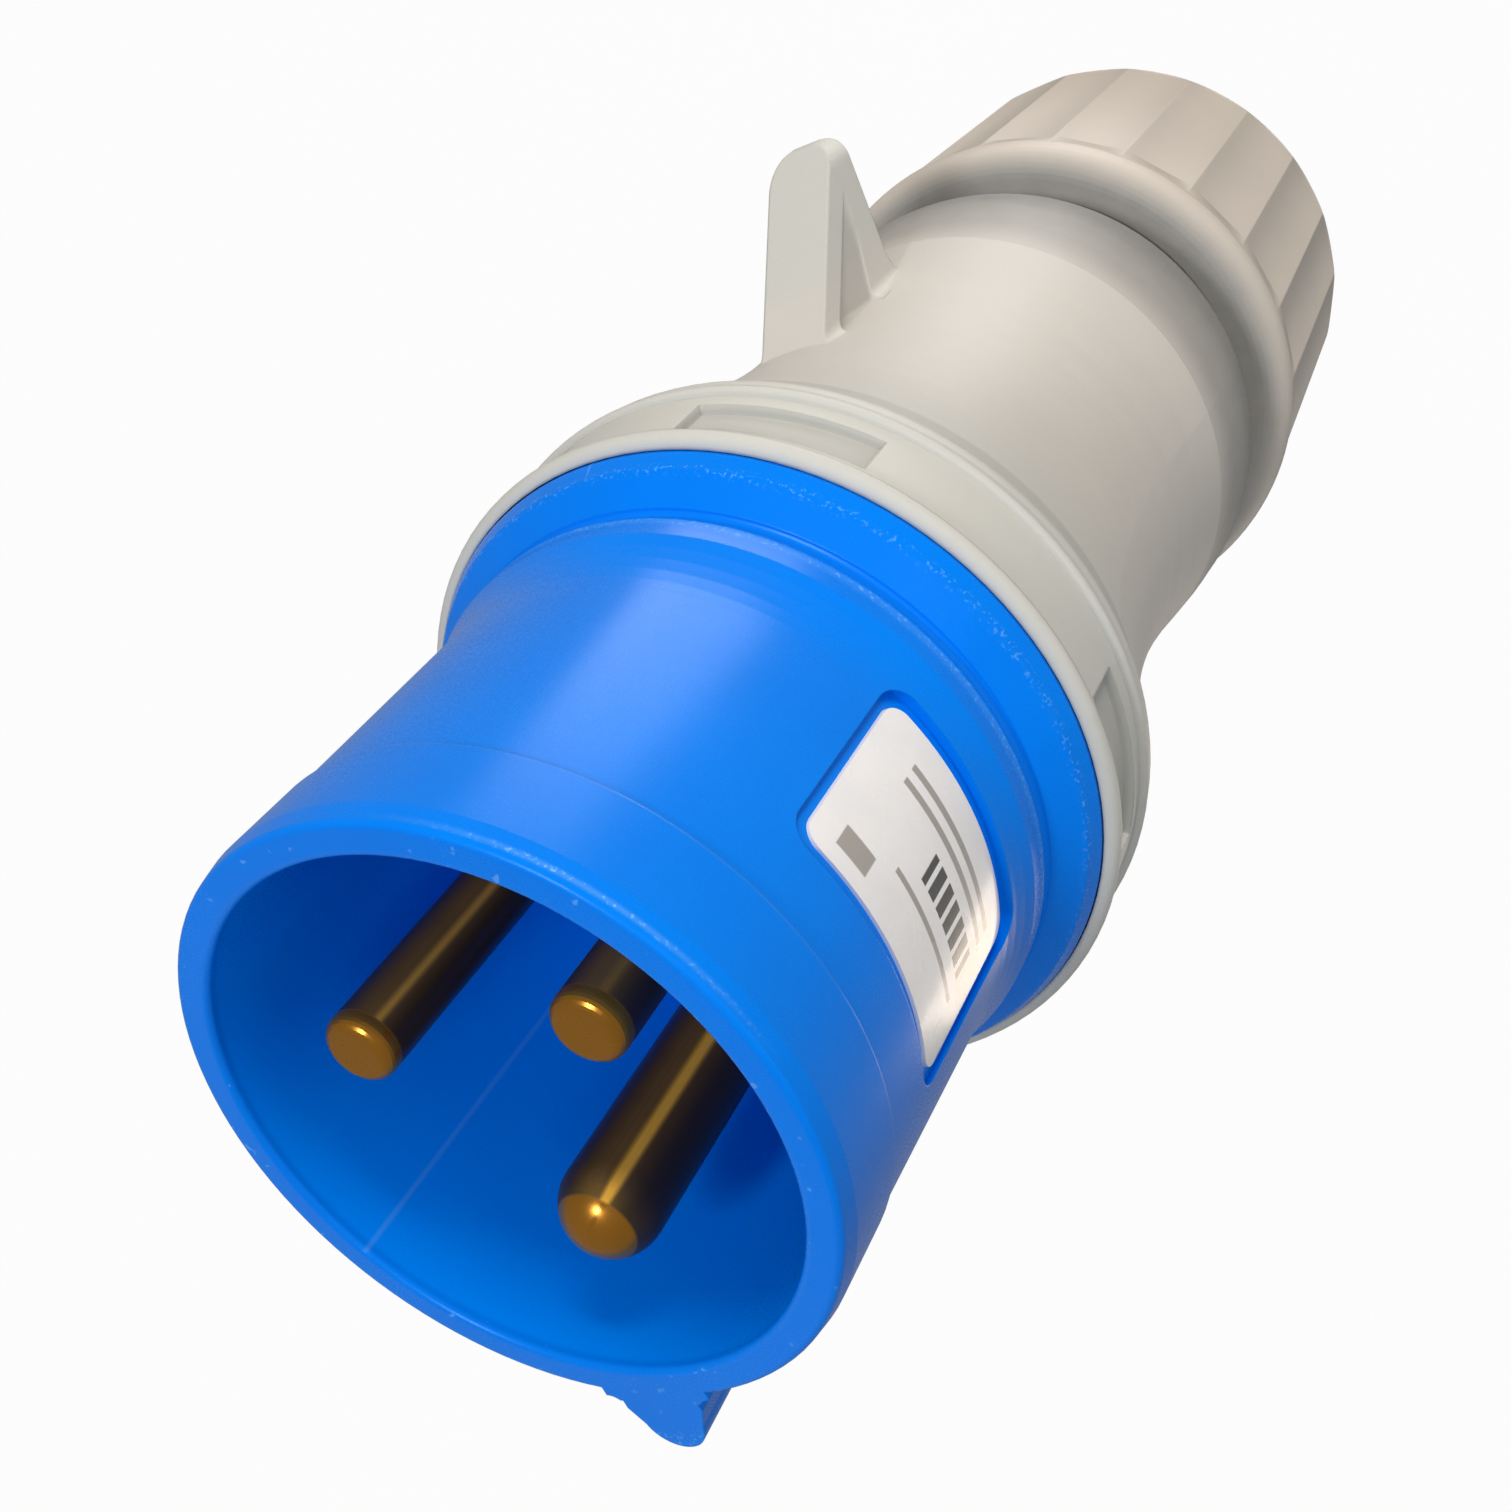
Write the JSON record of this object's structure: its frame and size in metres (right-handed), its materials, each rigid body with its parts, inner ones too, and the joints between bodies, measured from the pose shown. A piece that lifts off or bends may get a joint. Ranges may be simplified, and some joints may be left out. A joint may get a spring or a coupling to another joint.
{
  "type": "pin and sleeve plug",
  "caption": "Industrial pin and sleeve plug with round shroud, contact pins, keyway rib, flange, bayonet collar, lid lug and fluted screwed cable gland.",
  "frame": {"origin": "centre of the cable opening in the rear face of the gland nut, on which the plug stands", "axes": "+Z along the plug axis towards the mouth, -Y towards the keyway rib and the earth pin, +Y towards the lid lug, +X towards the rating label"},
  "size_m": [0.0542, 0.0613, 0.1411],
  "materials": {
    "shell_blue": "semi-gloss moulded",
    "label_white": "printed film",
    "block_dark": "matte moulded",
    "pin_brass": "polished, slightly tarnished",
    "plated_steel": "zinc plated",
    "gland_white": "satin moulded",
    "seal_black": "soft matte",
    "housing_grey": "fine satin moulded"
  },
  "bodies": {
    "plug": {"front_shell": "shell_blue", "rating_label": "label_white", "contact_block": "block_dark", "line_pin": "pin_brass", "neutral_pin": "pin_brass", "earth_pin": "pin_brass", "line_clamp_plate": "plated_steel", "neutral_clamp_plate": "plated_steel", "earth_clamp_plate": "plated_steel", "line_screw": "plated_steel", "neutral_screw": "plated_steel", "earth_screw": "plated_steel", "block_screw_left": "plated_steel", "block_screw_right": "plated_steel", "contact_retainer": "gland_white", "retainer_screw": "plated_steel", "housing_gasket": "seal_black", "rear_housing": "housing_grey", "clamping_cage": "gland_white", "cable_seal": "seal_black"},
    "washer": {"slip_washer": "gland_white"},
    "nut": {"gland_nut": "housing_grey"}
  },
  "joints": [
    {"name": "gland_travel", "type": "slide", "parent": "plug", "child": "washer", "axis": [0, 0, -1], "range_m": [0, 0.018]},
    {"name": "gland_turn", "type": "hinge", "parent": "washer", "child": "nut", "pos_m": [0, 0, 0], "axis": [0, 0, -1], "range_deg": [0, 2160]}
  ],
  "couplings": [
    {"joint": "gland_travel", "follows": "gland_turn", "m_per_rad": 0.00047746}
  ]
}
